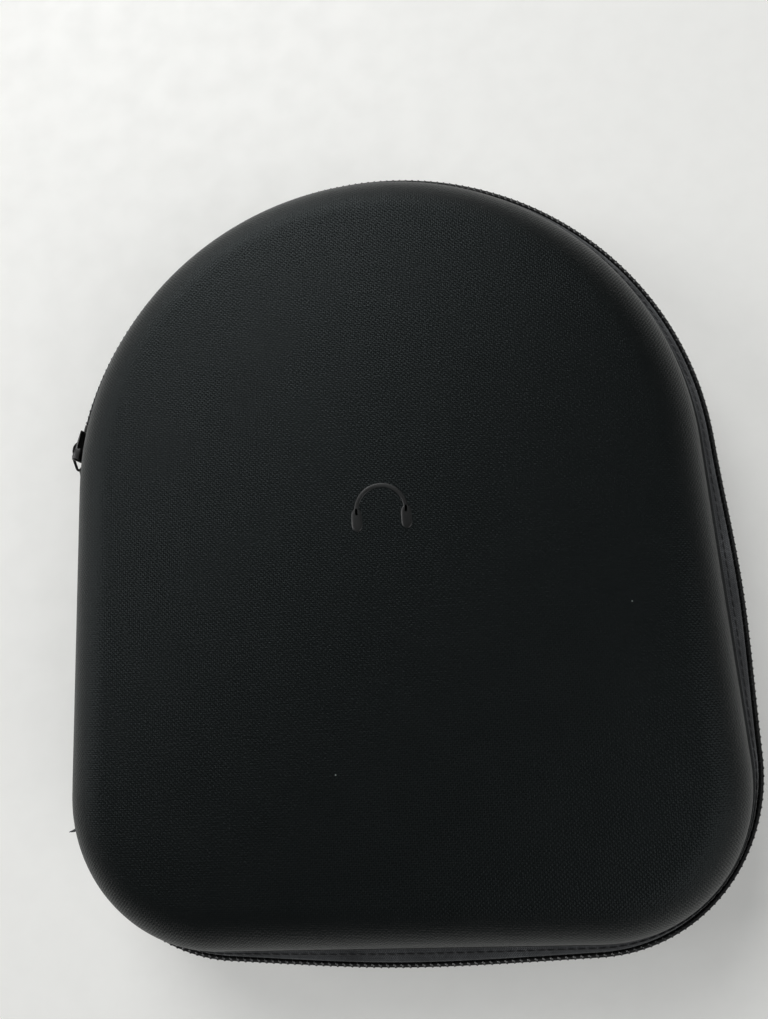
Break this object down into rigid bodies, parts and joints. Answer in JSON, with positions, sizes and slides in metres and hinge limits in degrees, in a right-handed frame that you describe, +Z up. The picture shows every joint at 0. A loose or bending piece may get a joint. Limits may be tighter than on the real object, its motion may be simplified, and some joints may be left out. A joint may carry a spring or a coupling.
{
  "type": "headphone carrying case",
  "caption": "Hard-shell D-shaped carrying case for over-ear headphones: two moulded fabric halves, fabric spine, coil zip with slider and pull.",
  "frame": {"origin": "middle of the flat underside, half way along the outline and half way across it", "axes": "+Y to the round end, +X to the side away from the spine, +Z up to the lid"},
  "size_m": [0.1931, 0.2263, 0.045],
  "materials": {
    "cover_fabric": "fine-weave black polyester laminated to the foam, matt, with a faint grey sheen on the rounded edge",
    "eva_foam": "moulded closed-cell EVA foam board, dark grey, seen by nobody when assembled",
    "lining_fabric": "brushed dark grey lining",
    "edge_binding": "woven charcoal edge binding",
    "zip_tape": "charcoal twill zip tape",
    "zip_coil": "black nylon coil with small bright glints",
    "zip_metal": "dark grey enamelled zinc, half gloss",
    "pull_rubber": "dark grey moulded rubber"
  },
  "bodies": {
    "base": {"base_outer_fabric": "cover_fabric", "base_foam_board": "eva_foam", "base_lining": "lining_fabric", "base_edge_binding": "edge_binding", "base_zip_tape": "zip_tape", "base_zip_coil": "zip_coil", "base_zip_top_stop": "zip_metal", "base_zip_end_stop": "zip_metal", "spine_fabric": "zip_tape", "spine_lining": "lining_fabric", "zip_tape_tail": "zip_tape"},
    "lid": {"lid_outer_fabric": "cover_fabric", "lid_foam_board": "eva_foam", "lid_lining": "lining_fabric", "lid_edge_binding": "edge_binding", "lid_zip_tape": "zip_tape", "lid_zip_coil": "zip_coil", "lid_zip_top_stop": "zip_metal", "lid_zip_end_stop": "zip_metal"},
    "slider": {"slider_body": "zip_metal", "slider_bridge": "zip_metal"},
    "pull_tab": {"pull_loop": "zip_metal", "pull_grip": "pull_rubber"}
  },
  "joints": [
    {"name": "lid_hinge", "type": "hinge", "parent": "base", "child": "lid", "pos_m": [-0.0945, 0, 0.0225], "axis": [0, -1, 0], "range_deg": [0, 180], "deforming": ["spine_fabric", "spine_lining"]},
    {"name": "zip_travel", "type": "hinge", "parent": "base", "child": "slider", "pos_m": [0, 0.0184, 0.0225], "axis": [0, 0, -1], "range_deg": [0, 152]},
    {"name": "pull_swing", "type": "hinge", "parent": "slider", "child": "pull_tab", "pos_m": [-0.0948, 0.03618, 0.0225], "axis": [0.1238, 0.6308, -0.766], "range_deg": [0, 150]}
  ]
}
